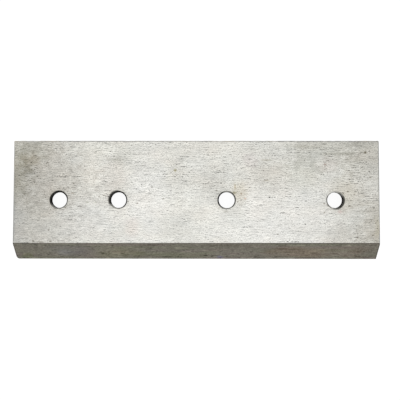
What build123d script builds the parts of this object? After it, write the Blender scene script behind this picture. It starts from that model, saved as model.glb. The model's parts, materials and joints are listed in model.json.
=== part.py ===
from build123d import *
from itertools import accumulate
import math
import os

# The knife of a wood chipper and shredder: one flat bar of tool steel, ground all over.
# It lies on its back face. X runs along the knife, Y from the cutting edge to the rear edge,
# and Z up through the thickness, from the back face to the front face.
# The origin is on the back face, under the middle of the bar.
# Lengths are in millimetres and angles in degrees.

# Bar
LENGTH = 200.0
WIDTH = 65.0
THICKNESS = 8.0
EDGE_BREAK = 0.4  # taken off every sharp edge of the bar, before the bevel is ground

# Bevel, ground from the front face down to the cutting edge, which lies at the back face
BEVEL_ANGLE = 41.0
EDGE_LAND = 0.2  # height of the honed flat that the grinding leaves at the cutting edge
WORN_CORNER_RADIUS = 1.5  # the cutting corner at the -X end, rubbed round in use

# Row of four bolt holes: from the -X end, one close pitch and then two wide ones
BOLT_DIAMETER = 8.0
BOLT_CLEARANCE = 1.0  # across the diameter
MOUTH_CHAMFER = 0.5  # at the front face
HEAD_SINK_DIAMETER = 18.0  # at the back face, which the bolts' flat heads sit flush with
HEAD_SINK_ANGLE = 90.0  # between the two sides of the countersink's cone
CLOSE_PITCH = 32.5
WIDE_PITCH = 59.25
ROW_OFFSET = 0.4  # from the middle of the bar's length to the middle of the row
ROW_SETBACK = 32.5  # from the rear edge to the row

# Places that follow from the sizes above
CUTTING_SIDE = -WIDTH / 2
REAR_SIDE = WIDTH / 2
HOLE_RADIUS = (BOLT_DIAMETER + BOLT_CLEARANCE) / 2
HEAD_SINK_RADIUS = HEAD_SINK_DIAMETER / 2
HEAD_SINK_DEPTH = (HEAD_SINK_RADIUS - HOLE_RADIUS) / math.tan(math.radians(HEAD_SINK_ANGLE / 2))
ROW_LENGTH = CLOSE_PITCH + 2 * WIDE_PITCH
ROW_START = ROW_OFFSET - ROW_LENGTH / 2


def bar():
    """The flat bar. Only the two long edges on the cutting side stay sharp, for the grinder."""
    blank = extrude(Rectangle(LENGTH, WIDTH), THICKNESS)
    rear_corners = blank.edges().filter_by(Axis.Z).group_by(Axis.Y)[-1]
    blank = chamfer(rear_corners, EDGE_BREAK)
    face_edges = blank.faces().filter_by(Axis.Z).edges()
    cutting_edges = face_edges.group_by(Axis.Y)[0]
    return chamfer(face_edges - cutting_edges, EDGE_BREAK)


def grind_bevel(blank):
    """The bar without what lies outside the bevel, a plane that leans over the cutting edge."""
    angle = math.radians(BEVEL_ANGLE)
    land_top = (0, CUTTING_SIDE, EDGE_LAND)
    outward = (0, -math.sin(angle), math.cos(angle))
    return split(blank, bisect_by=Plane(origin=land_top, z_dir=outward), keep=Keep.BOTTOM)


def worn_off_corner():
    """What use has rubbed off the cutting corner at the -X end: a square less a quarter disc."""
    radius = WORN_CORNER_RADIUS
    square = Rectangle(radius, radius, align=Align.MIN)
    outline = square - Pos(radius, radius) * Circle(radius)
    return Pos(-LENGTH / 2, CUTTING_SIDE) * extrude(outline, THICKNESS)


def bolt_hole():
    """What is drilled for one bolt: its clearance hole, chamfered in front and countersunk behind."""
    profile = Polyline(
        (0, 0),
        (HEAD_SINK_RADIUS, 0),
        (HOLE_RADIUS, HEAD_SINK_DEPTH),
        (HOLE_RADIUS, THICKNESS - MOUTH_CHAMFER),
        (HOLE_RADIUS + MOUTH_CHAMFER, THICKNESS),
        (0, THICKNESS),
        close=True,
    )
    return revolve(make_face(Plane.XZ * profile), Axis.Z)


def bolt_row():
    """The four holes in their places along the row."""
    y = REAR_SIDE - ROW_SETBACK
    xs = accumulate([ROW_START, CLOSE_PITCH, WIDE_PITCH, WIDE_PITCH])
    return [Pos(x, y) * bolt_hole() for x in xs]


def knife():
    """The whole knife, in the order in which it is made and then worn."""
    solid = grind_bevel(bar())
    solid -= bolt_row()
    solid -= worn_off_corner()
    solid.label = "chipper_blade"
    return solid


os.makedirs("parts", exist_ok=True)
export_step(knife(), "parts/chipper_blade.step")
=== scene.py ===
# %% [markdown]
# # A chipper shredder knife, dressed in Blender
#
# The object is one flat bar of tool steel, ground all over, with one long side ground to a bevel
# that ends in the cutting edge, and a row of four bolt holes. The imported model gives its exact form
# and size. This lesson models the same bar again with a finer, slightly used surface, and gives it
# the finishes that the real one shows: a pale ground face with grinding grain, pits and stains,
# a darker bevel, dull broken edges and nearly black hole walls. The darkness of the bevel and of the
# hole walls is painted shade in their colour.
#
# The frame comes first, because the sizes below are read from it.

import json
import math
from functools import reduce

import bmesh
import bpy
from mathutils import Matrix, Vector


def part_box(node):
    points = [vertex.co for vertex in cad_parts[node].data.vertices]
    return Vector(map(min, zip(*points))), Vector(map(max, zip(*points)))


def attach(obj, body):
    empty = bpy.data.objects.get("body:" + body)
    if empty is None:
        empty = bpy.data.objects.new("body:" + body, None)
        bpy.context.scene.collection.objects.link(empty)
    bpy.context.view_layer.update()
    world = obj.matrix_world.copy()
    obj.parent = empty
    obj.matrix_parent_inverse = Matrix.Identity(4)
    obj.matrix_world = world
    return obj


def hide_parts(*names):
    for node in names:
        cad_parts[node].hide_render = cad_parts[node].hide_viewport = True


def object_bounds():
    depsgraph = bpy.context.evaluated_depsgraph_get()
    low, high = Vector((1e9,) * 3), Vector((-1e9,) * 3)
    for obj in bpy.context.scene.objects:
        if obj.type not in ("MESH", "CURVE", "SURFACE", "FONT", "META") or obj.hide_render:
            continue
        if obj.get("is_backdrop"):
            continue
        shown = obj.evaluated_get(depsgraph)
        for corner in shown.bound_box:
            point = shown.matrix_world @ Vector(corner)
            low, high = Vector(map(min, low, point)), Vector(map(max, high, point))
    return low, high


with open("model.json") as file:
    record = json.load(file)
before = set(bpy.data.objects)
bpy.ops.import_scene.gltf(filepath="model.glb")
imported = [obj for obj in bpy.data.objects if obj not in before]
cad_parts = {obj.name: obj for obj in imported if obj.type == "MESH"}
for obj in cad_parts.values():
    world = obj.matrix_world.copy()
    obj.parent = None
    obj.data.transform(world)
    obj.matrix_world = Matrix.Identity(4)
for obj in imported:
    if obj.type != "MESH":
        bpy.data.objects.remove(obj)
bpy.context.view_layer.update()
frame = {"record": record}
low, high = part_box("chipper_blade")
bolt_holes = [m for m in frame["record"]["mounts"] if m["kind"] == "bore"]
MM = 0.001
size = high - low
print("The bar measures", [round(s / MM, 2) for s in size], "mm and has", len(bolt_holes), "holes")

# %% [markdown]
# ## The camera
#
# The knife was photographed from almost straight above. A camera could be placed by eye, but a flat
# bar with square corners tells more: its front face is a rectangle of known size, the holes are at
# known places on it, and the cutting edge lies one thickness lower. Only one place, tilt and lens
# put all of these where the photograph has them, so those values are used. The lens is given for
# Blender's own sensor, which is 36 mm wide.

# %% Camera
CAMERA_PLACE = Vector((3.7, -12.2, 300.3)) * MM
CAMERA_TILT = (2.39, 0.31, 0.05)  # degrees about X, Y and Z
LENS = 48.25  # mm

camera_data = bpy.data.cameras.new("photo_camera")
camera_data.lens = LENS
camera_data.clip_start = 0.01
camera = bpy.data.objects.new("photo_camera", camera_data)
camera.location = CAMERA_PLACE
camera.rotation_euler = [math.radians(angle) for angle in CAMERA_TILT]
bpy.context.scene.collection.objects.link(camera)
bpy.context.scene.camera = camera
bpy.context.scene.view_settings.view_transform = "Standard"
print("The camera is", round((CAMERA_PLACE.z - high.z) / MM), "mm above the front face")

# %% [markdown]
# ## Shader maths that reads as Python
#
# Every finish below is worked out from the place of a point on the steel. Node by node in an editor
# that is slow to build and hard to read. So one small class wraps an output socket, and sums
# written with it add Math nodes. A second class holds a node tree and has one method that adds any
# other node: its settings are set first, and then the values or links of its sockets.


# %% Sockets as values
class Value:
    """One output socket. Sums written with it add Math nodes to its tree."""

    def __init__(self, tree, socket):
        self.tree = tree
        self.socket = socket

    def also(self, output):
        """Another output of the same node."""
        return Value(self.tree, self.tree.find(self.socket.node.outputs, output))

    def math(self, operation, *inputs):
        return self.tree.node("ShaderNodeMath", {"operation": operation}, dict(enumerate(inputs)))

    def __add__(self, other):
        return self.math("ADD", self, other)

    def __radd__(self, other):
        return self.math("ADD", other, self)

    def __sub__(self, other):
        return self.math("SUBTRACT", self, other)

    def __mul__(self, other):
        return self.math("MULTIPLY", self, other)

    def __rmul__(self, other):
        return self.math("MULTIPLY", other, self)

    def __truediv__(self, other):
        return self.math("DIVIDE", self, other)

    def root(self):
        return self.math("SQRT", self)

    def above(self, other):
        return self.math("MAXIMUM", self, other)

    def fade(self, start, end):
        """0 at start, 1 at end, with a smooth climb between them and no change beyond."""
        settings = {"interpolation_type": "SMOOTHSTEP"}
        ends = {"Value": self, "From Min": start, "From Max": end}
        return self.tree.node("ShaderNodeMapRange", settings, ends)


class Tree:
    """The node tree of a material or of the world."""

    def __init__(self, owner):
        owner.use_nodes = True
        self.tree = owner.node_tree
        self.tree.nodes.clear()

    def node(self, kind, settings=None, inputs=None, output=0):
        """Add a node, and give one of its outputs, named or counted, as a Value."""
        made = self.tree.nodes.new(kind)
        for name, value in (settings or {}).items():
            setattr(made, name, value)
        for name, value in (inputs or {}).items():
            socket = made.inputs[name] if isinstance(name, int) else self.find(made.inputs, name)
            if isinstance(value, Value):
                self.tree.links.new(value.socket, socket)
            else:
                socket.default_value = value
        outputs = made.outputs
        found = outputs[output] if isinstance(output, int) else self.find(outputs, output)
        return Value(self, found)

    @staticmethod
    def find(sockets, name):
        """The socket of that name. A Mix node has several of one name, so their identifiers serve."""
        return next(s for s in sockets if name in (s.name, s.identifier))

    def end(self, kind, shader):
        """The output node that a shader goes into."""
        self.tree.links.new(shader.socket, self.tree.nodes.new(kind).inputs["Surface"])

    def blend(self, factor, first, second, how="MIX"):
        """A colour between two others, or the first one multiplied by the second."""
        mix = {"Factor_Float": factor, "A_Color": first, "B_Color": second}
        settings = {"data_type": "RGBA", "blend_type": how}
        return self.node("ShaderNodeMix", settings, mix, "Result_Color")


print("Shader maths is ready")

# %% [markdown]
# ## Floor, surroundings and light
#
# The photograph has pure white all round. More light would bleach the steel, so the white comes
# from the surroundings as they are seen: Light Path tells camera, glossy and transmission rays from
# the rest, and only those see full white. Steel then mirrors the same white that the camera sees.
# The floor stays partly a real matt surface, so it keeps the knife's soft shadow.
#
# The light is one large soft lamp nearly overhead. The face mirrors it in its middle and less at its
# two ends, which is why they are darker in the photograph.

# %% Floor and world
WHITE = (1.0, 1.0, 1.0, 1.0)
FLOOR_COLOUR = (0.8, 0.8, 0.8, 1.0)
FLOOR_GLOW = 1.15
FLOOR_GLOW_SHARE = 0.8
FLOOR_DROP = 0.05 * MM
FLOOR_SIZE = 12.0
ROOM_LIGHT = 0.8


def seen(tree):
    """1 for the rays that show the surroundings: camera, glossy and transmission rays."""
    kinds = ("Is Camera Ray", "Is Glossy Ray", "Is Transmission Ray")
    camera_ray, glossy_ray, clear_ray = [tree.node("ShaderNodeLightPath", output=k) for k in kinds]
    return camera_ray + glossy_ray + clear_ray


floor_material = bpy.data.materials.new("floor")
floor_tree = Tree(floor_material)
matt = floor_tree.node("ShaderNodeBsdfDiffuse", None, {"Color": FLOOR_COLOUR})
glow = floor_tree.node("ShaderNodeEmission", None, {"Strength": FLOOR_GLOW})
shares = {"Fac": FLOOR_GLOW_SHARE * seen(floor_tree), 1: matt, 2: glow}
floor_tree.end("ShaderNodeOutputMaterial", floor_tree.node("ShaderNodeMixShader", None, shares))

bpy.ops.object.select_all(action="DESELECT")
bpy.ops.mesh.primitive_plane_add(size=FLOOR_SIZE, location=(0, 0, -FLOOR_DROP))
floor = bpy.context.object
floor.name = "floor"
floor.data.materials.append(floor_material)
floor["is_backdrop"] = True

world = bpy.data.worlds.new("studio")
bpy.context.scene.world = world
sky = Tree(world)
sky_light = {"Color": WHITE, "Strength": ROOM_LIGHT + (1 - ROOM_LIGHT) * seen(sky)}
sky.end("ShaderNodeOutputWorld", sky.node("ShaderNodeBackground", None, sky_light))
print("Floor", FLOOR_SIZE, "m wide, room light", ROOM_LIGHT)

# %% Lamp
LAMP_PLACE = Vector((0, -30, 700)) * MM
LAMP_SIZE = Vector((600, 420)) * MM
LAMP_POWER = 0.55

bpy.ops.object.light_add(type="AREA", location=LAMP_PLACE)
lamp = bpy.context.object
lamp.name = "soft_lamp"
lamp.data.shape = "RECTANGLE"
lamp.data.size = LAMP_SIZE.x
lamp.data.size_y = LAMP_SIZE.y
lamp.data.energy = LAMP_POWER
print("One soft lamp of", LAMP_POWER, "W")

# %% [markdown]
# ## Modelling the bar
#
# A real knife starts as a bar. Its sharp edges are broken, the bevel is ground, and the bolt holes
# are drilled. The same order works in Blender: a cube is the bar, the Bevel operator breaks its
# edges, one Bisect is the grinding wheel, and a Boolean with a turned drill makes each hole. The
# broken edges run off into the ground bevel by themselves, as on the real one.
#
# An operator acts on what is selected, so a small helper selects by place.

# %% Selecting by place
NEAR = 0.01 * MM
FACING = 0.99  # cosine of the angle within which two directions count as one


def middle_of(part):
    """The middle of a vertex, an edge or a face."""
    corners = [part.co] if hasattr(part, "co") else [v.co for v in part.verts]
    return sum(corners, Vector()) / len(corners)


def choose(kind, test):
    """In edit mode, select only the parts of one kind (VERT, EDGE or FACE) that pass a test."""
    bpy.ops.mesh.select_mode(type=kind)
    bpy.ops.mesh.select_all(action="DESELECT")
    mesh = bmesh.from_edit_mesh(bpy.context.edit_object.data)
    parts = {"VERT": mesh.verts, "EDGE": mesh.edges, "FACE": mesh.faces}[kind]
    chosen = [part for part in parts if test(part)]
    for part in chosen:
        part.select_set(True)
    mesh.select_flush_mode()
    bmesh.update_edit_mesh(bpy.context.edit_object.data)
    return len(chosen)


def near(a, b):
    return abs(a - b) < NEAR


def looks_along(face, direction):
    """Does this face look that way, given as a vector one unit long?"""
    return face.normal.dot(direction) > FACING


print("Helpers for selecting are ready")

# %% Bar with its worn cutting corner
EDGE_BREAK = 0.4 * MM
BREAK_SEGMENTS = 2
WORN_CORNER = 1.5 * MM
CORNER_SEGMENTS = 8

bpy.ops.object.select_all(action="DESELECT")
bpy.ops.mesh.primitive_cube_add(size=1, location=(low + high) / 2, scale=size)
knife = bpy.context.object
knife.name = "ground_knife"
bpy.ops.object.transform_apply(location=True, rotation=True, scale=True)
bpy.ops.object.mode_set(mode="EDIT")


def upright(edge):
    """Does this edge run up through the thickness?"""
    return abs(edge.verts[0].co.z - edge.verts[1].co.z) > size.z / 2


rear = choose("EDGE", lambda e: upright(e) and near(middle_of(e).y, high.y))
bpy.ops.mesh.bevel(offset=EDGE_BREAK, segments=BREAK_SEGMENTS, affect="EDGES")
corner = choose(
    "EDGE", lambda e: upright(e) and near(middle_of(e).y, low.y) and near(middle_of(e).x, low.x)
)
bpy.ops.mesh.bevel(offset=WORN_CORNER, segments=CORNER_SEGMENTS, affect="EDGES")
print("Rear corners broken:", rear, "and cutting corners worn:", corner)


# %% Broken edges round both faces
def rim(edge):
    """An edge of the front or back face, away from the cutting side and its worn corner."""
    flat = near(edge.verts[0].co.z, edge.verts[1].co.z)
    return flat and middle_of(edge).y > low.y + WORN_CORNER


rims = choose("EDGE", rim)
bpy.ops.mesh.bevel(offset=EDGE_BREAK, segments=BREAK_SEGMENTS, affect="EDGES")
print("Rim edges broken:", rims)

# %% [markdown]
# ## Grinding the bevel
#
# The bevel is a plane that leans back over the cutting edge. Bisect cuts along a plane, clears what
# is outside it and fills the cut, which is just what the grinding wheel does. The plane passes just
# above the back face at the cutting edge, so a thin honed land is left there.

# %% Bevel
BEVEL_ANGLE = math.radians(41)
EDGE_LAND = 0.2 * MM
BEVEL_RUN = (size.z - EDGE_LAND) / math.tan(BEVEL_ANGLE)
BEVEL_LINE = low.y + BEVEL_RUN
bevel_outward = Vector((0, -math.sin(BEVEL_ANGLE), math.cos(BEVEL_ANGLE)))

bpy.ops.mesh.select_all(action="SELECT")
bpy.ops.mesh.bisect(
    plane_co=(0, low.y, low.z + EDGE_LAND), plane_no=bevel_outward, use_fill=True, clear_outer=True
)
print("The bevel is", round(BEVEL_RUN / MM, 2), "mm wide seen from above")

# %% [markdown]
# ## Rows of small faces for the worn edges
#
# A broken edge on a used knife is not straight: it has small dents. Dents need vertices, and a face
# that stretches over the whole knife has none. Subdividing everything would give millions of faces,
# so the bar is sliced only where it matters: often along its length, and close behind each edge.
# The slices close behind an edge have a second use: they keep the smooth shading of the edge from
# spreading over the flat face.

# %% Slices
SLICE_STEP = 0.8 * MM
BEHIND_EDGE = (0.55 * MM, 1.1 * MM)
BEVEL_SLICES = (0.5 * MM, 1.5 * MM, 4.0 * MM, 7.5 * MM)


def slice_bar(axis, places):
    """Cut all faces where they cross planes that stand square to an axis."""
    direction = Vector([float(name == axis) for name in "XYZ"])
    for place in places:
        bpy.ops.mesh.select_all(action="SELECT")
        bpy.ops.mesh.bisect(plane_co=direction * place, plane_no=direction)


steps = round(size.x / SLICE_STEP)
along = [low.x + size.x * k / steps for k in range(1, steps)]
behind_ends = [side * (high.x - gap) for gap in BEHIND_EDGE for side in (-1, 1)]
behind_rear = [high.y - gap for gap in BEHIND_EDGE]
behind_bevel = [BEVEL_LINE + gap for gap in BEHIND_EDGE]
on_bevel = [low.y + gap for gap in BEVEL_SLICES]
slice_bar("X", along + behind_ends)
slice_bar("Y", behind_rear + behind_bevel + on_bevel)
slice_bar("Z", [low.z + BEHIND_EDGE[1], high.z - BEHIND_EDGE[1]])
bpy.ops.object.mode_set(mode="OBJECT")
print("Faces after slicing:", len(knife.data.polygons))

# %% [markdown]
# ## Dents in the broken edges
#
# The Displace modifier moves vertices along their normals by a texture. Here it may only push
# inwards, so the knife never grows past its real size, and a vertex group keeps it to the broken
# edges of the front face and the two ends. The back face stays flat, because the knife lies on it.

# %% Dents
DENT_DEPTH = 0.16 * MM
DENT_SIZE = 1.6 * MM


def on_broken_edge(place):
    """Is this vertex on the broken edges, and above the back face's own rim?"""
    outside_x = abs(place.x) > high.x - EDGE_BREAK - NEAR
    outside_y = place.y > high.y - EDGE_BREAK - NEAR
    near_front = place.z > high.z - EDGE_BREAK - NEAR
    return near_front and (outside_x or outside_y)


dented = knife.vertex_groups.new(name="dented")
worn = [v.index for v in knife.data.vertices if on_broken_edge(v.co)]
dented.add(worn, 1.0, "REPLACE")

dent_noise = bpy.data.textures.new("dents", "CLOUDS")
dent_noise.noise_scale = DENT_SIZE
dent_noise.noise_depth = 2
dent_noise.contrast = 3.5
dent_noise.intensity = 0.55
dent_noise.use_clamp = True

denting = knife.modifiers.new("dents", "DISPLACE")
denting.texture = dent_noise
denting.texture_coords = "LOCAL"
denting.mid_level = 0.0
denting.strength = -DENT_DEPTH
denting.vertex_group = dented.name
bpy.ops.object.modifier_apply(modifier=denting.name)
knife.vertex_groups.clear()
print("Vertices that a dent may move:", len(worn))

# %% [markdown]
# ## Drilling the bolt holes
#
# Each hole is a straight bore, chamfered in front and countersunk behind for a bolt's flat head. The
# drill is a cylinder as long as the bore's wall. Its two ends are extruded on past the faces and
# widened by as much as they move, which makes both the chamfer and the 90 degree countersink. A
# chamfer that is cut by hand is never quite centred, so each drill's front end is also moved aside
# a little. A thin crust of dried oil and dirt sits on the walls, so each drill is thinner by that
# crust, while its two cones keep their size. The bolt has rubbed the third hole's wall clean but for
# one side, so that drill is thinner by half of the crust and stands aside by the other half.

# %% Drill one hole after another
BORE_SEGMENTS = 96
OVERSHOOT = 1.0 * MM
CHAMFER_SLIPS = [(-0.15, 0.2), (-0.1, 0.2), (-0.04, 0.0), (0.25, -0.15)]  # mm along X and Y
CRUST = 0.2 * MM
RUBBED_HOLE = 2


def flare(side, place, radius, reach, slip):
    """Extrude the drill's upper (1) or lower (-1) cap onwards, and widen it by as much as it moves."""
    choose("FACE", lambda face: looks_along(face, Vector((0, 0, side))))
    move = Vector((slip[0], slip[1], side * reach))
    bpy.ops.mesh.extrude_region_move(TRANSFORM_OT_translate={"value": move})
    wider = (radius + reach) / radius
    bpy.ops.transform.resize(value=(wider, wider, 1), center_override=place + move)


def turned_drill(place, radius, wall, slip):
    """A cylinder with a flared cone at each end, as an object ready to be taken away."""
    bpy.ops.mesh.primitive_cylinder_add(
        vertices=BORE_SEGMENTS, radius=radius, depth=wall, location=place
    )
    drill = bpy.context.object
    bpy.ops.object.transform_apply(location=True, rotation=True, scale=True)
    bpy.ops.object.mode_set(mode="EDIT")
    flare(1, place, radius, high.z - place.z - wall / 2 + OVERSHOOT, slip)
    flare(-1, place, radius, place.z - wall / 2 - low.z + OVERSHOOT, (0, 0))
    bpy.ops.object.mode_set(mode="OBJECT")
    return drill


def drill_hole(mount, slip, crust, aside):
    """Take one turned drill from the knife, at its mount's place and with its mount's sizes."""
    place = Vector(mount["pos_m"]) + Vector((aside, 0, 0))
    radius = mount["dims"]["r_mm"] * MM - crust
    wall = mount["dims"]["length_mm"] * MM - 2 * crust
    bpy.ops.object.select_all(action="DESELECT")
    drill = turned_drill(place, radius, wall, [s * MM for s in slip])
    bpy.ops.object.select_all(action="DESELECT")
    bpy.context.view_layer.objects.active = knife
    knife.select_set(True)
    cut = knife.modifiers.new("hole", "BOOLEAN")
    cut.operation = "DIFFERENCE"
    cut.object = drill
    bpy.ops.object.modifier_apply(modifier=cut.name)
    bpy.data.objects.remove(drill)


for number, (mount, slip) in enumerate(zip(bolt_holes, CHAMFER_SLIPS)):
    if number == RUBBED_HOLE:
        drill_hole(mount, slip, CRUST / 2, aside=CRUST / 2)
    else:
        drill_hole(mount, slip, CRUST, aside=0.0)
print("Faces after drilling:", len(knife.data.polygons))

# %% [markdown]
# ## Smooth and crisp edges
#
# Smooth shading makes the round bores and the dented edges look round, but on a ground knife it
# would also blur the lines between the faces. So only edges that turn by less than a set angle are
# smoothed, and every sharper one stays crisp.

# %% Smooth shading, with the arrises kept crisp
SMOOTH_BELOW = math.radians(30)
bpy.ops.object.shade_smooth_by_angle(angle=SMOOTH_BELOW)
print("Sharper edges than", round(math.degrees(SMOOTH_BELOW)), "degrees stay crisp")

# %% [markdown]
# ## What the finishes are made of
#
# All finishes of the knife are mixtures of a few things: noise stretched along the grinding
# direction, round pits, and soft stains with ragged borders. Each is a function of a point on the
# steel, in the knife's own coordinates, so it stays on the steel from every side.


# %% Noise, pits and stains
BURR_PLACE = 0.55  # mm from a stroke to its burr
PIT_WALL = 0.4  # share of a pit's radius in which it gets dark
STAIN_BORDER = (1.0, 0.2)  # shares of a stain's reach at which it starts and is full
STAIN_DEPTH = 4.0  # mm, so that the back has no stain of the front
CHAMFER = 0.5  # mm
CRESCENT_TAPER = 18  # degrees
RIM_BORDER = 0.1  # mm


class Steel(Tree):
    """The node tree of one finish of the knife. Its methods take lengths in millimetres."""

    def __init__(self, name):
        self.material = bpy.data.materials.new(name)
        super().__init__(self.material)
        self.point = self.node("ShaderNodeTexCoord", output="Object")
        self.x, self.y, self.z = [
            self.node("ShaderNodeSeparateXYZ", None, {0: self.point}, axis) for axis in "XYZ"
        ]
        inputs = {0: self.point, "Scale": 1 / MM}
        self.point_mm = self.node("ShaderNodeVectorMath", {"operation": "SCALE"}, inputs, "Vector")
        self.hole_places = {}

    def cells(self, grain, shift, aside=0.0):
        """The point, moved aside in Y and counted in grains of that size along X, Y and Z."""
        scale = [1 / (side * MM) for side in grain]
        place = (shift, shift + aside / grain[1], shift)
        inputs = {"Vector": self.point, "Location": place, "Scale": scale}
        return self.node("ShaderNodeMapping", None, inputs)

    def noise(self, grain, detail, shift=0.0, aside=0.0):
        """Soft noise about zero."""
        inputs = {"Vector": self.cells(grain, shift, aside), "Scale": 1.0, "Detail": detail}
        return self.node("ShaderNodeTexNoise", None, inputs) - 0.5

    def scratches(self, grain, detail, shift, burr):
        """Noise whose every dark stroke has a light burr beside it, and the other way round."""
        return self.noise(grain, detail, shift) - burr * self.noise(grain, detail, shift, BURR_PLACE)

    def pits(self, spacing, share, radius, shift=0.0):
        """1 in pits of random size, in a share of the cells. The radius is a share of a cell."""
        inputs = {"Vector": self.cells(spacing, shift), "Scale": 1.0}
        distance = self.node("ShaderNodeTexVoronoi", None, inputs)
        luck = self.node("ShaderNodeSeparateColor", None, {0: distance.also("Color")}, "Red")
        reach = (luck - (1 - share)) * (radius / share)
        return (reach - distance).fade(0.0, PIT_WALL * radius)

    def stain(self, place, reach, ragged, depth=STAIN_DEPTH):
        """1 in the middle of a soft patch of the front, 0 outside its ragged border."""
        shrink = [1 / side for side in (*reach, depth)]
        shift = [-m * s for m, s in zip((*place, high.z / MM), shrink)]
        settings = {"operation": "MULTIPLY_ADD"}
        inputs = {0: self.point_mm, 1: shrink, 2: shift}
        offset = self.node("ShaderNodeVectorMath", settings, inputs, "Vector")
        distance = self.node("ShaderNodeVectorMath", {"operation": "LENGTH"}, {0: offset}, "Value")
        return (distance + ragged).fade(*STAIN_BORDER)

    def any_stain(self, patches, ragged):
        """1 in any of several soft patches, each given as its place and its reach."""
        masks = (self.stain(place, reach, ragged) for place, reach in patches)
        return reduce(Value.above, masks)

    def from_axis(self, mount):
        """A point's distance from a bolt hole's axis, in metres: in X, in Y and in all."""
        if mount["name"] not in self.hole_places:
            across, along = self.x - mount["pos_m"][0], self.y - mount["pos_m"][1]
            distance = (across * across + along * along).root()
            self.hole_places[mount["name"]] = across, along, distance
        return self.hole_places[mount["name"]]

    def crescent(self, mount, angle, spread, halo):
        """1 on one side of a bolt hole's rim: at an angle in degrees and a spread about it."""
        across, along, distance = self.from_axis(mount)
        turn = math.radians(angle)
        towards = (math.cos(turn) * across + math.sin(turn) * along) / distance
        ends = [math.cos(math.radians(spread + k * CRESCENT_TAPER)) for k in (1, -1)]
        rim = (mount["dims"]["r_mm"] + CHAMFER) * MM
        return towards.fade(*ends) * distance.fade(rim + halo * MM, rim - RIM_BORDER * MM)

    def toned(self, colour, tone):
        """The colour times a tone that varies about 1."""
        inputs = {0: colour, "Scale": tone}
        return self.node("ShaderNodeVectorMath", {"operation": "SCALE"}, inputs, "Vector")

    def tinted(self, colour, tint, mask):
        """The colour, multiplied by a tint where the mask is 1."""
        return self.blend(mask, colour, (*tint, 1.0), "MULTIPLY")

    def finish(self, colour, roughness, relief, metallic=1.0, shine=0.5):
        """The shader. The relief is a height in millimetres."""
        bump = self.node("ShaderNodeBump", None, {"Height": relief, "Distance": MM})
        inputs = {
            "Base Color": colour,
            "Roughness": roughness,
            "Metallic": metallic,
            "Specular IOR Level": shine,
            "Normal": bump,
        }
        self.end("ShaderNodeOutputMaterial", self.node("ShaderNodeBsdfPrincipled", None, inputs))
        return self.material


print("Noise, pits and stains are ready")

# %% [markdown]
# ## The grain of the ground face
#
# The face was ground along its length on a surface grinder. That leaves short fine strokes, some
# lighter and some darker, and longer faint streaks. A plain metal with a scratched bump would look
# right only under one lamp, so the strokes are in the colour too.
#
# Specks and short strokes are noises, a little longer along the knife than across it. A noise that
# is stretched further comes out slanted and wavy, like the grain of wood, but a grinding wheel
# leaves straight lines that stop and start. So the longer marks start as noises stretched so far
# that they are straight lines. Multiplying these by other noises, which are high in some spots and
# low in others, cuts them into dashes of several lengths.


# %% Grain of the face
def broken_lines(steel):
    """Straight fine lines, cut into dashes of several lengths."""
    lines = steel.scratches((20.0, 0.40, 0.4), detail=1.0, shift=3.0, burr=0.75)
    other_lines = steel.scratches((20.0, 0.42, 0.4), detail=1.0, shift=27.0, burr=0.75)
    short_gate = steel.noise((1.2, 0.8, 0.8), detail=0.0, shift=31.0)
    middle_gate = steel.noise((3.4, 1.6, 1.6), detail=0.0, shift=35.0)
    long_gate = steel.noise((6.0, 2.0, 2.0), detail=0.0, shift=39.0)
    dashes = lines * (4.9 * short_gate + 0.3)
    return dashes + other_lines * (4.3 * middle_gate + 2.2 * long_gate + 0.2)


def face_grain(steel, specks, dashes, smears):
    """The whole grain of the face, a little stronger in its rear half."""
    crisp_specks = steel.scratches((0.6, 0.45, 0.4), detail=1.0, shift=5.0, burr=0.7)
    soft_specks = steel.noise((1.2, 0.9, 0.9), detail=0.0, shift=9.0)
    strokes = steel.scratches((3.4, 0.40, 0.4), detail=1.0, shift=3.0, burr=0.85)
    rear_half = steel.y.fade(-10 * MM, 15 * MM)
    grain = 0.97 * specks + 0.65 * crisp_specks + 0.2 * soft_specks + 0.48 * strokes + dashes
    return grain * (0.9 + 0.15 * rear_half + 1.2 * smears)


print("The grain of the face is ready")
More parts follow.
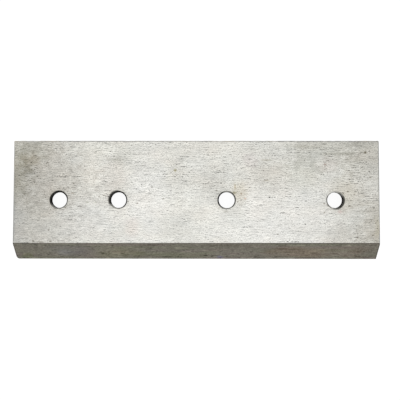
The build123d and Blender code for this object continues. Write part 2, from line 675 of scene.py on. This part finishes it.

# %% [markdown]
# ## Stains, pits and marks of the face
#
# Storage and use added small dark pits, which crowd in some areas, and stains: oily finger marks at
# the two ends, a little rust at the third hole. The two ends are also darkened with painted shade,
# and two broad patches of painted highlight lie where the face mirrors the lamp most. Where a stain
# lies is no accident of a noise. So each has a name, a place and a reach, both in millimetres along
# X and Y, and a tint, which the colour is multiplied by. The single pits are all of one size and
# tint, so each needs only a place, and an area in which small pits crowd needs a place and a reach.

# %% Stains of the face
STAINS = {
    # Painted shade and oil darken the left end
    "handled left end": ((-106, 0), (58, 80), (0.81, 0.80, 0.79)),
    "oily rear corner": ((-101, 13), (15, 24), (0.77, 0.76, 0.71)),
    "dull rear edge of the left end": ((-90, 28), (15, 15), (0.86, 0.86, 0.83)),
    "wiped tip of the rear corner": ((-99, 27), (8, 11), (1.12, 1.12, 1.12)),
    "dark smear of the left end": ((-90, 15), (8, 6), (0.85, 0.85, 0.84)),
    "smudge before the first hole": ((-88, -3), (8, 10), (0.91, 0.91, 0.90)),
    "smudge round the first hole": ((-78, 12), (27, 24), (0.925, 0.91, 0.895)),
    "ruddy spot in the oily corner": ((-90, 22), (7, 6), (0.97, 0.95, 0.925)),
    "cool heel of the left end": ((-100, -12), (9, 30), (0.945, 0.955, 0.97)),
    "cool front of the left half": ((-56, -12), (26, 18), (1.02, 1.025, 1.045)),
    "bright rub behind the second hole": ((-52, 30), (24, 14), (1.07, 1.07, 1.06)),
    # Painted highlight where the face mirrors the lamp most
    "bright middle": ((-27, 2), (16, 40), (1.07, 1.07, 1.09)),
    "ruddy patch by the second hole": ((-46, 12), (10, 18), (0.97, 0.95, 0.945)),
    "clean patch before the second hole": ((-57, 14), (8, 9), (1.06, 1.05, 1.04)),
    "grey smudge behind the second hole": ((-41, 23), (9, 7), (0.90, 0.90, 0.89)),
    "grey smudge left of the middle": ((-9, 13), (9, 13), (0.91, 0.91, 0.91)),
    "grey blotch by the third hole": ((10, 8), (13, 13), (0.87, 0.87, 0.87)),
    "rust at the third hole": ((23.5, 4.5), (7, 9), (0.90, 0.87, 0.815)),
    "dull front of the third hole": ((22, -8), (9, 10), (0.93, 0.93, 0.92)),
    "dull patch behind the third hole": ((40, 14), (16, 14), (0.915, 0.90, 0.885)),
    "dull band before the fourth hole": ((58, 14), (14, 13), (0.90, 0.905, 0.885)),
    "dull rear edge": ((69, 29), (31, 18), (0.84, 0.84, 0.82)),
    # Painted shade darkens the rear corner of the right end
    "dull rear corner": ((95, 24), (20, 20), (0.83, 0.82, 0.80)),
    "bright rear edge": ((14, 34), (30, 10), (1.07, 1.07, 1.07)),
    # Painted highlight where the face mirrors the lamp most
    "polished front of the right half": ((46, -12), (50, 32), (1.06, 1.06, 1.08)),
    "brown stain by the fourth hole": ((85, 2), (15, 13), (0.90, 0.885, 0.865)),
    "yellow stain by the fourth hole": ((80, 3), (11, 15), (0.98, 0.975, 0.95)),
    "dull front by the fourth hole": ((79, -21), (14, 14), (0.89, 0.88, 0.87)),
    # Brown stain and painted shade darken the cutting corner of the right end
    "brown cutting corner": ((102, -17), (24, 28), (0.78, 0.76, 0.73)),
    "yellow foot of the right edge": ((98.6, -15), (3.2, 10), (1.0, 0.985, 0.93)),
    "cool strip at the left end": ((-99.6, -9), (1.4, 17), (0.91, 0.925, 0.95)),
    "pink spot": ((-35, -15), (6, 7), (0.97, 0.94, 0.94)),
    "second pink spot": ((29, 22), (7, 6), (0.98, 0.95, 0.96)),
    "third pink spot": ((72, 20), (8, 7), (0.99, 0.96, 0.96)),
}
print("The face has", len(STAINS), "stains")

# %% Pits and marks of the face
PITS = [
    (-81.5, 20.5), (-60.9, 18.5), (-67.0, 9.2), (-50.3, 2.5), (-53.1, 1.9), (-32.2, -1.7), (-80.5, -16.4),
    (-24.2, 7.1), (-18.0, 0.7), (-37.2, -0.8), (-71.5, -4.1), (11.2, 5.2), (22.7, -1.0), (44.4, -18.6),
    (69.8, -1.9), (71.6, -2.7), (69.9, -6.8), (83.7, -3.3), (82.6, 4.7), (80.2, 3.6), (86.3, 3.1),
    (87.7, -20.4), (96.0, -19.2), (95.5, -10.8), (92.6, -5.0), (95.0, 12.4), (-96.5, 8.6), (-94.0, 3.2),
]
PIT_SIZE = (0.78, 0.62)
PIT_TINT = (0.47, 0.45, 0.42)
MARKS = {
    "olive dot": ((-11.5, 16.2), (1.3, 1.2), (0.60, 0.57, 0.42)),
    "nick over the bevel": ((-88.8, -22.5), (1.0, 0.9), (0.50, 0.48, 0.45)),
    "second nick over the bevel": ((-79.4, -22.6), (0.9, 0.8), (0.55, 0.53, 0.50)),
    "scratch over the bevel": ((-84.4, -22.9), (2.6, 0.6), (0.68, 0.66, 0.64)),
    "brown dash by the first hole": ((-67.5, 3.7), (1.4, 0.7), (0.66, 0.62, 0.58)),
    "dash between the left holes": ((-59.5, -1.3), (1.5, 0.6), (0.66, 0.67, 0.62)),
    "second dash between them": ((-55.0, -1.3), (1.2, 0.6), (0.70, 0.71, 0.66)),
    "brown dot at the rear corner": ((92.4, 26.1), (1.2, 1.0), (0.35, 0.32, 0.26)),
    "ruddy dot": ((70.4, 19.5), (1.0, 0.7), (0.64, 0.54, 0.52)),
    "scratch in the right half": ((38.3, 21.9), (4.5, 0.8), (0.72, 0.70, 0.66)),
    "shorter scratch in front of it": ((38.3, 10.7), (2.4, 0.7), (0.66, 0.64, 0.60)),
    "streak along the rear edge": ((58.9, 29.3), (13, 1.2), (0.84, 0.84, 0.82)),
    "streak under the rear edge": ((78.0, 25.4), (16, 1.1), (0.84, 0.84, 0.82)),
    "streak over the second hole": ((-45.0, 22.0), (6, 1.0), (0.86, 0.86, 0.84)),
    "brown run behind the third hole": ((21.2, 7.2), (0.9, 2.4), (0.80, 0.75, 0.66)),
    "olive smear at the third rim": ((20.9, 4.0), (1.8, 1.2), (0.62, 0.60, 0.50)),
    "brown speck by the third hole": ((24.6, 3.5), (0.9, 0.8), (0.58, 0.52, 0.46)),
    "rust speck by the third hole": ((26.8, 0.8), (1.2, 0.8), (0.80, 0.68, 0.62)),
    "grey dash before the third hole": ((16.2, -6.2), (2.2, 0.7), (0.78, 0.77, 0.75)),
    "ruddy spot before the fourth hole": ((78.4, -6.4), (2.0, 1.4), (0.98, 0.89, 0.90)),
}
PITTED = {
    "rear half of the left end": ((-93, 12), (16, 24)),
    "over the third hole": ((14, 10), (14, 9)),
    "by the fourth hole": ((84, 1), (13, 9)),
    "right edge": ((98.5, -4), (4, 32)),
    "left edge": ((-99.4, 16), (1.8, 17)),
}
print("The face has", len(PITS), "single pits,", len(MARKS), "marks and", len(PITTED), "pitted areas")

# %% [markdown]
# ## Old oil round the bolt holes, and painted light on their rims
#
# Oil creeps out from under a bolt's head, dries and catches dirt. It has left a faint round patch of
# grime at each hole. The rims have painted shade on some sides and a painted highlight on others.
# They lie on the chamfer and run over the arris onto the face. So one function shades both, by
# the angle round the hole's axis. Each row below gives the hole, counted from 0, the angle and how
# far the shade or highlight spreads on both sides of it, in degrees, how many millimetres it runs
# over the arris, and its tone, which is under 1 for painted shade and over 1 for a painted highlight.

# %% Oil round the holes
HOLE_GRIME = (0.72, 0.71, 0.69)
HOLE_GRIME_OFFSET = 0.9  # mm
HOLE_GRIME_REACH = (7.4, 7.4)
# Each side of a rim gets painted shade (tone under 1) or a painted highlight (tone over 1)
RIM_SHADE_AND_HIGHLIGHTS = {
    "oil on the left of the first rim": (0, 150, 62, 0.15, 0.12),
    "oil behind the first rim": (0, 60, 50, 0.5, 0.08),
    "thin lower end of the oil on the first rim": (0, 225, 25, 0.1, 0.7),
    "dull right side of the first rim": (0, 0, 50, 0.1, 0.6),
    "rubbed lower side of the first rim": (0, 245, 20, 0.0, 1.4),
    "oil on the left of the second rim": (1, 150, 60, 1.0, 0.14),
    "dark line on the right of the second rim": (1, 25, 80, 0.1, 0.03),
    "rubbed lower side of the second rim": (1, 242, 22, 0.0, 1.9),
    "oil on the left of the third rim": (2, 165, 52, 0.15, 0.03),
    "lower end of the oil on the third rim": (2, 215, 30, 0.4, 0.4),
    "grey line on the right of the third rim": (2, 10, 55, 0.2, 0.5),
    "oil on the right of the fourth rim": (3, 340, 42, 0.5, 0.2),
    "oil rubbed over the face below the fourth rim": (3, 285, 20, 0.9, 0.5),
    "grey line on the left of the fourth rim": (3, 190, 40, 0.2, 0.6),
    "bare rear side of the fourth rim": (3, 105, 35, 0.0, 2.6),
    "rubbed lower left side of the fourth rim": (3, 238, 25, 0.0, 2.2),
}


def soil_holes(steel, colour, ragged):
    """Darken the face round each hole, most on the side that its chamfer slipped towards."""
    for mount, slip in zip(bolt_holes, CHAMFER_SLIPS):
        share = HOLE_GRIME_OFFSET / math.hypot(*slip)
        place = [mount["pos_m"][k] / MM + share * slip[k] for k in (0, 1)]
        colour = steel.tinted(colour, HOLE_GRIME, steel.stain(place, HOLE_GRIME_REACH, ragged))
    return colour


def shade_rims(steel, colour):
    """Darken some sides of the holes' rims with painted shade, and brighten others with a painted
    highlight.
    """
    for hole, angle, spread, halo, tone in RIM_SHADE_AND_HIGHLIGHTS.values():
        mask = steel.crescent(bolt_holes[hole], angle, spread, halo)
        colour = steel.tinted(colour, (tone, tone, tone), mask)
    return colour


print("The rims of the holes have", len(RIM_SHADE_AND_HIGHLIGHTS), "sides with painted shade or highlight")

# %% [markdown]
# ## The ground face, put together
#
# First comes the colour of bare steel, times a tone that holds the grain, soft mottling and pits.
# Then tints go on it one by one: warm and cool clouds, the stains with their patches of painted shade
# and highlight, marks and pits, the grime round the holes with the painted shade and highlights of
# their rims, and a thin line of painted shade where the face ends at the bevel. Only the front has
# that line, so it also fades out towards the back.

# %% Ground face
FACE_STEEL = (0.535, 0.530, 0.494)
WARM_STEEL = (1.02, 0.99, 0.97)
COOL_STEEL = (0.985, 1.0, 1.02)
# Painted shade in a thin line on the face along the arris at the bevel
ARRIS_SHADE_LINE = (0.20, 0.19, 0.18)
ARRIS_BAND = (0.30 * MM, 0.14 * MM)  # behind the bevel's line: where it starts and where it is full


def mark_face(steel, colour, specks, ragged):
    """Put the stains, the marks and the single pits on the face."""
    for place, reach, tint in STAINS.values():
        colour = steel.tinted(colour, tint, steel.stain(place, reach, ragged))
    rough = 0.5 * specks
    for place, reach, tint in MARKS.values():
        colour = steel.tinted(colour, tint, steel.stain(place, reach, rough))
    pits = steel.any_stain([(place, PIT_SIZE) for place in PITS], specks)
    return steel.tinted(colour, PIT_TINT, pits)


def at_bevel_line(steel):
    """1 on the front in a hair's breadth along the bevel, and fainter towards the left end."""
    beside_line = steel.y.fade(*[BEVEL_LINE + gap for gap in ARRIS_BAND])
    stronger_right = 0.25 + 0.75 * steel.x.fade(-90 * MM, 60 * MM)
    return beside_line * stronger_right * steel.z.fade(low.z, high.z)


def ground_face():
    steel = Steel("ground_face")
    specks = steel.noise((0.7, 0.42, 0.4), detail=1.0, shift=0.0)
    mottle = steel.noise((3.2, 2.4, 3.0), detail=1.0, shift=13.0)
    smears = steel.noise((16.0, 5.0, 8.0), detail=1.0, shift=17.0)
    clouds = steel.noise((24.0, 14.0, 20.0), detail=2.0, shift=21.0)
    warmth = steel.noise((12.0, 8.0, 12.0), detail=1.0, shift=31.0)
    long_pits = steel.pits((3.4, 0.9, 1.0), share=0.3, radius=0.4)
    dots = steel.pits((5.0, 3.6, 4.0), share=0.4, radius=0.11, shift=5.0)
    close_dots = steel.pits((1.7, 1.3, 1.4), share=0.5, radius=0.34, shift=11.0)
    ragged = 0.7 * mottle + 0.6 * clouds + 0.3 * specks
    pitted = steel.any_stain(PITTED.values(), ragged)
    dashes = broken_lines(steel)
    grain = face_grain(steel, specks, dashes, smears)
    # The squared grain makes the dark strokes stronger than the light ones.
    tone = 1.035 + grain - 1.1 * grain * grain + 0.25 * mottle + 0.2 * smears
    tone = tone - 0.2 * long_pits - 0.8 * dots - 0.7 * pitted * close_dots
    colour = steel.toned(FACE_STEEL, tone)
    colour = steel.tinted(colour, WARM_STEEL, (2.0 * warmth).above(0.0))
    colour = steel.tinted(colour, COOL_STEEL, (-2.0 * warmth).above(0.0))
    colour = mark_face(steel, colour, specks, ragged)
    colour = soil_holes(steel, colour, 0.3 * ragged)
    colour = shade_rims(steel, colour)
    # Painted shade: a thin dark line along the arris where the face meets the bevel
    colour = steel.tinted(colour, ARRIS_SHADE_LINE, at_bevel_line(steel))
    roughness = 0.4 + 0.2 * clouds + 0.1 * dashes + 0.15 * dots
    relief = 0.01 * grain - 0.02 * long_pits - 0.05 * dots
    return steel.finish(colour, roughness, relief)


print("The ground face's finish is ready")

# %% [markdown]
# ## The ground bevel
#
# The bevel was ground by another wheel and leans away from the light. Its colour is much darker than
# the face's, as painted shade for the dim surroundings that it mirrors. It shows long streaks along
# the knife in changing hues, from bluish grey to olive and brown, as steel does that was heated a
# little at the wheel and then oiled. The hues come from a streaked noise of their own: where it is
# high the colour is multiplied by one tint, and where it is low by another.
# The bevel's upper edge has painted shade in a thin line along the arris, and its two ends are darker.
#
# Its patches and marks have rows like those of the face's stains. But the bevel slopes from the front
# down to the back, so they are the same at every height.

# %% Patches and marks of the bevel
THROUGH = 1000.0  # mm, the depth of a stain that is the same at every height
BEVEL_MARKS = {
    "cool patch near the worn corner": ((-72, -27.5), (14, 5), (0.97, 1.0, 1.06)),
    "purple patch": ((-61.5, -27.5), (9, 5), (1.0, 0.965, 1.03)),
    "light rub": ((-73, -29), (6, 2.4), (1.20, 1.22, 1.30)),
    "green spot at the worn corner": ((-93.5, -30.3), (4, 2), (0.95, 1.03, 0.85)),
    "olive patch": ((-42, -29), (16, 4), (1.03, 1.04, 0.92)),
    "olive foot": ((-10, -30), (36, 2.5), (0.98, 1.01, 0.93)),
    "brown patch": ((62, -28.5), (30, 4.5), (1.12, 0.99, 0.93)),
    "pale end": ((84, -28), (18, 8), (1.06, 1.05, 1.02)),
    "pale left third": ((-47, -28), (20, 8), (1.12, 1.12, 1.10)),
    "pale streak": ((9.5, -27.8), (9, 0.7), (1.20, 1.20, 1.16)),
    "second pale streak": ((68, -27.2), (7, 0.6), (1.18, 1.16, 1.16)),
    "dark streak": ((20, -24.9), (24, 0.9), (0.80, 0.78, 0.76)),
    "second dark streak": ((-24, -24.8), (14, 0.8), (0.82, 0.80, 0.80)),
    "nick": ((5.5, -30.5), (2.0, 0.7), (0.35, 0.35, 0.33)),
    "second nick": ((8.7, -31.1), (1.6, 0.6), (0.35, 0.35, 0.33)),
    "third nick": ((17, -30.9), (1.6, 0.6), (0.40, 0.40, 0.38)),
    "fourth nick": ((33, -31.1), (1.3, 0.5), (0.55, 0.55, 0.50)),
    "blue spot": ((13, -31.4), (3.4, 1.2), (0.95, 0.95, 1.45)),
}
print("The bevel has", len(BEVEL_MARKS), "patches and marks")

# %% Ground bevel
# Painted shade: the bevel's colour is darker than the face's, for the dim surroundings it mirrors
SHADED_BEVEL_STEEL = (0.161, 0.151, 0.1245)
OLIVE_HUE = (0.985, 1.015, 0.96)
PURPLE_HUE = (1.03, 0.975, 1.01)
# Painted shade in a thin line along the bevel's upper arris
TOP_SHADE_LINE = (0.62, 0.60, 0.58)
TOP_BAND = (0.6 * MM, 0.25 * MM)  # below the bevel's line, in the same way
BEVEL_ENDS = (0.62, 0.60, 0.60)
END_BAND = (0.9 * MM, 0.3 * MM)  # from the two ends


def ground_bevel():
    steel = Steel("ground_bevel")
    specks = steel.noise((0.7, 0.56, 0.56), detail=1.0, shift=0.0)
    crisp_specks = steel.scratches((0.8, 0.6, 0.6), detail=1.0, shift=5.0, burr=0.7)
    soft_specks = steel.noise((1.2, 1.2, 1.2), detail=0.0, shift=9.0)
    lines = steel.scratches((20.0, 0.55, 0.55), detail=1.0, shift=3.0, burr=0.7)
    soft_lines = steel.noise((20.0, 1.1, 1.1), detail=1.0, shift=11.0)
    short_gate = steel.noise((1.6, 1.4, 1.4), detail=0.0, shift=31.0)
    middle_gate = steel.noise((3.4, 2.1, 2.1), detail=0.0, shift=35.0)
    long_gate = steel.noise((6.0, 2.7, 2.7), detail=0.0, shift=39.0)
    streaks = steel.noise((14.0, 1.1, 1.1), detail=1.0, shift=7.0)
    hue = steel.noise((26.0, 1.8, 1.8), detail=1.0, shift=15.0)
    patches = steel.noise((16.0, 6.0, 6.0), detail=1.0, shift=19.0)
    long_pits = steel.pits((3.4, 1.2, 1.2), share=0.3, radius=0.4)
    dashes = lines * (4.4 * short_gate + 2.8 * long_gate)
    soft_dashes = soft_lines * (4.7 * middle_gate + 3.4 * long_gate)
    grain = 0.85 * specks + 0.6 * crisp_specks + 0.37 * soft_specks
    grain = grain + dashes + soft_dashes + 0.35 * streaks
    tone = 1.04 + grain + 0.4 * patches - 0.45 * long_pits
    colour = steel.toned(SHADED_BEVEL_STEEL, tone)
    colour = steel.tinted(colour, OLIVE_HUE, (5.0 * hue).fade(0.0, 1.0))
    colour = steel.tinted(colour, PURPLE_HUE, (-5.0 * hue).fade(0.0, 1.0))
    ragged = 1.2 * patches + 0.8 * soft_dashes + 0.5 * specks
    for place, reach, tint in BEVEL_MARKS.values():
        colour = steel.tinted(colour, tint, steel.stain(place, reach, ragged, depth=THROUGH))
    # A thin line of painted shade along the arris, stronger to the right
    below_line = steel.y.fade(*[BEVEL_LINE - gap for gap in TOP_BAND])
    darker_right = 0.65 + 0.35 * steel.x.fade(-40 * MM, 60 * MM)
    colour = steel.tinted(colour, TOP_SHADE_LINE, below_line * (darker_right + 1.5 * dashes))
    from_middle = (steel.x * steel.x).root()
    at_end = from_middle.fade(*[high.x - gap for gap in END_BAND])
    colour = steel.tinted(colour, BEVEL_ENDS, at_end)
    roughness = 0.42 + 0.2 * patches
    relief = 0.01 * grain
    return steel.finish(colour, roughness, relief)


print("The bevel's finish is ready")

# %% [markdown]
# ## The cut sides
#
# The rear side and the two ends were sawn and then only skimmed, and nobody polishes them. They are
# duller and darker than the face, with lines that run along them, dark specks and brown bloom where
# hands and damp got at them. The grains are as long in X as in Y, and short in Z, so that one
# finish draws its lines along the rear side and along both ends. The broken edges share this
# finish, because a file leaves them just as dull.

# %% Cut sides
SIDE_STEEL = (0.33, 0.33, 0.315)
SIDE_BROWN = (1.0, 0.90, 0.76)
SIDE_SPECK = (0.40, 0.36, 0.32)


def cut_sides():
    steel = Steel("cut_sides")
    specks = steel.noise((0.6, 0.6, 0.5), detail=1.0)
    lines = steel.noise((40.0, 40.0, 0.4), detail=1.0, shift=3.0)
    gate = steel.noise((5.0, 5.0, 1.6), detail=0.0, shift=31.0)
    streaks = steel.noise((40.0, 40.0, 1.2), detail=1.0, shift=9.0)
    clouds = steel.noise((12.0, 12.0, 6.0), detail=2.0, shift=13.0)
    dots = steel.pits((2.4, 2.4, 1.6), share=0.35, radius=0.26, shift=5.0)
    dashes = lines * (8.0 * gate)
    grain = 0.8 * specks + 0.4 * lines + dashes + 0.7 * streaks
    colour = steel.toned(SIDE_STEEL, 1.0 + grain + 0.9 * clouds)
    colour = steel.tinted(colour, SIDE_BROWN, (clouds + 0.4 * specks).fade(0.0, 0.22))
    colour = steel.tinted(colour, SIDE_SPECK, dots)
    roughness = 0.5 + 0.2 * clouds + 0.2 * dashes
    relief = 0.02 * grain - 0.05 * dots
    return steel.finish(colour, roughness, relief)


print("The cut sides' finish is ready")

# %% [markdown]
# ## Hole walls and rims
#
# The walls of the bolt holes are coloured nearly black, as painted shade for the dark inside of the
# holes, so they mirror almost nothing. Only the third hole's wall is bright, because its bolt has
# rubbed it. The chamfers in front and the countersinks behind are turned steel, darker than the
# face as painted shade of their slope but brighter than the black walls, with the painted shade and
# highlights on the rims that the face shows too.

# %% Blackened bores
# Painted shade: the walls are coloured nearly black for the dark inside of the holes
BORE_SHADE_BLACK = (0.006, 0.0055, 0.005)
BORE_CLEAN = (0.42, 0.41, 0.38, 1.0)
CLEAN_REACH = (10.0, 10.0)  # mm, much wider than a hole


def black_bores():
    steel = Steel("black_bores")
    grime = steel.noise((0.9, 0.9, 0.6), detail=3.0)
    place = [side / MM for side in bolt_holes[RUBBED_HOLE]["pos_m"][:2]]
    clean = steel.stain(place, CLEAN_REACH, ragged=0.0, depth=THROUGH)
    colour = steel.blend(clean, steel.toned(BORE_SHADE_BLACK, 1.0 + 1.2 * grime), BORE_CLEAN)
    return steel.finish(colour, roughness=0.6, relief=0.03 * grime, metallic=clean, shine=0.0)


print("The hole walls' finish is ready")

# %% Turned mouths
# Painted shade: the chamfers are darker than the face, for the shade of their slope
SHADED_MOUTH_STEEL = (0.30, 0.295, 0.27)


def turned_mouths():
    steel = Steel("turned_mouths")
    noise = steel.noise((1.2, 1.2, 0.5), detail=3.0)
    colour = steel.toned(SHADED_MOUTH_STEEL, 1.0 + 2.0 * noise)
    return steel.finish(shade_rims(steel, colour), roughness=0.45, relief=0.02 * noise)


print("The chamfers' and countersinks' finish is ready")

# %% [markdown]
# ## One finish for each surface
#
# The knife is one mesh, so each finish is a material slot of it, and each face is given its slot by
# a test of where it lies and which way it looks. The first finish takes all faces, and each later
# one takes over the faces that pass its test. So no face is left without a finish.

# %% Give each surface its finish
BORE_REACH = max(m["dims"]["r_mm"] for m in bolt_holes) * MM + 0.05 * MM
SINK_REACH = 9.6 * MM  # a little wider than a countersink
WALL_RISE = 0.1  # more than the normal of a hole's wall rises


def off_axis(place):
    """How far a place is from the nearest bolt hole's axis."""
    return min(math.hypot(place.x - m["pos_m"][0], place.y - m["pos_m"][1]) for m in bolt_holes)


def is_flat(face):
    return abs(face.normal.z) > FACING


def is_bevel(face):
    return looks_along(face, bevel_outward)


def is_bore(face):
    return abs(face.normal.z) < WALL_RISE and off_axis(middle_of(face)) < BORE_REACH


def is_mouth(face):
    return WALL_RISE < abs(face.normal.z) < FACING and off_axis(middle_of(face)) < SINK_REACH


FINISHES = [
    (cut_sides, lambda face: True),
    (ground_face, is_flat),
    (ground_bevel, is_bevel),
    (turned_mouths, is_mouth),
    (black_bores, is_bore),
]

for make, _ in FINISHES:
    knife.data.materials.append(make())
bpy.ops.object.mode_set(mode="EDIT")
for slot, (make, test) in enumerate(FINISHES):
    count = choose("FACE", test)
    knife.active_material_index = slot
    bpy.ops.object.material_slot_assign()
    print(make.__name__, "is on", count, "faces")
bpy.ops.object.mode_set(mode="OBJECT")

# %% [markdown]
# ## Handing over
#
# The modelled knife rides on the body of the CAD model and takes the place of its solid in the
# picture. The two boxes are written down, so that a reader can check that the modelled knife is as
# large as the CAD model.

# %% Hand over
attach(knife, "root")
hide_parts("chipper_blade")
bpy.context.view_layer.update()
extent_mm = [round((top - bottom) / MM, 2) for bottom, top in zip(*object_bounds())]
print("The modelled knife is", extent_mm, "mm along X, Y and Z")
